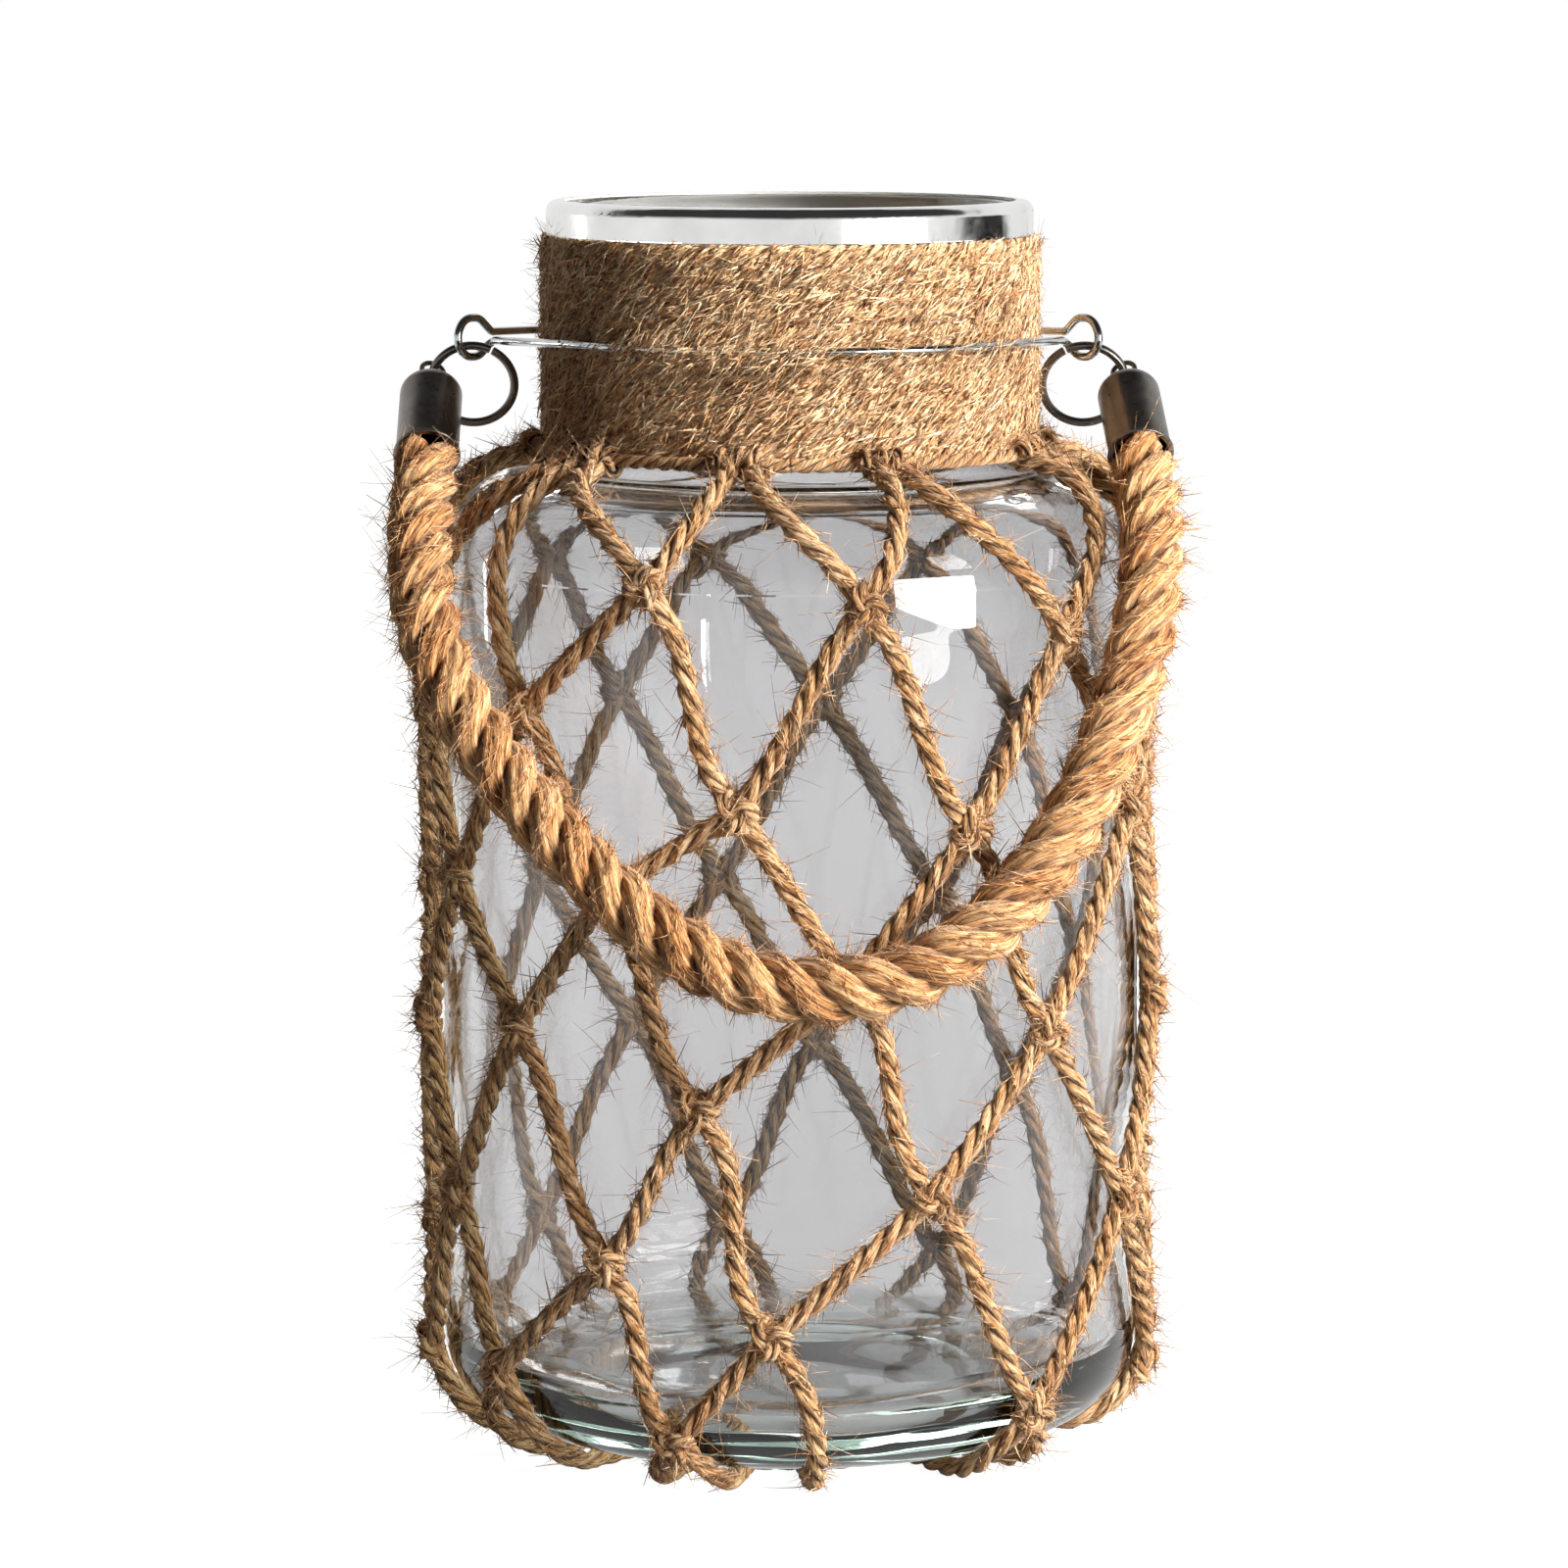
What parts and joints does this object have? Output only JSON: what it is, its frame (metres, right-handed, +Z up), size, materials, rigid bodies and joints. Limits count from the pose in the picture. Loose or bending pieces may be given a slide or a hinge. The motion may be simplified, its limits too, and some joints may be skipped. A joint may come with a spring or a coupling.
{
  "type": "mason jar lantern",
  "caption": "Clear glass jar lantern in a knotted jute net, its neck wound with twine, with a thick rope handle in metal end caps hung on rings from a neck wire.",
  "frame": {"origin": "centre of the jar's base, on the surface that it stands on", "axes": "+Z up along the jar's axis, -Y towards the side that the rope handle rests on"},
  "size_m": [0.136, 0.1477, 0.2185],
  "materials": {
    "clear_glass": "clear",
    "bright_band": "polished",
    "wrap_twine": "fibrous",
    "steel_wire": "bright",
    "dark_ring": "gunmetal",
    "dark_cap": "gunmetal",
    "jute_rope": "fibrous",
    "net_twine": "fibrous"
  },
  "bodies": {
    "jar": {"glass_jar": "clear_glass", "rim_band": "bright_band", "neck_wrap": "wrap_twine", "neck_wire": "steel_wire", "net_collar": "net_twine", "net_hitches": "net_twine", "net_knots_1": "net_twine", "net_knots_2": "net_twine", "net_knots_3": "net_twine", "net_knots_4": "net_twine", "net_knots_5": "net_twine", "net_cords_1": "net_twine", "net_cords_2": "net_twine", "net_cords_3": "net_twine", "net_cords_4": "net_twine", "net_cords_5": "net_twine", "net_heel_knots": "net_twine", "net_heel_cords": "net_twine", "net_base_cords": "net_twine", "net_base_ring": "net_twine"},
    "left_ring": {"left_ring": "dark_ring"},
    "right_ring": {"right_ring": "dark_ring"},
    "handle": {"handle_rope": "jute_rope", "left_end_cap": "dark_cap", "right_end_cap": "dark_cap"}
  },
  "joints": [
    {"name": "left_ring_swing", "type": "hinge", "parent": "jar", "child": "left_ring", "pos_m": [-0.05573, -0.00364, 0.1932], "axis": [-1, 0, 0], "range_deg": [0, 85]},
    {"name": "right_ring_swing", "type": "hinge", "parent": "jar", "child": "right_ring", "pos_m": [0.05173, -0.00364, 0.1932], "axis": [-1, 0, 0], "range_deg": [0, 85]},
    {"name": "handle_swing", "type": "hinge", "parent": "left_ring", "child": "handle", "pos_m": [-0.06263, -0.00199, 0.18866], "axis": [-1, 0, 0], "range_deg": [0, 30]}
  ],
  "couplings": [
    {"joint": "right_ring_swing", "follows": "left_ring_swing", "ratio": 1}
  ]
}
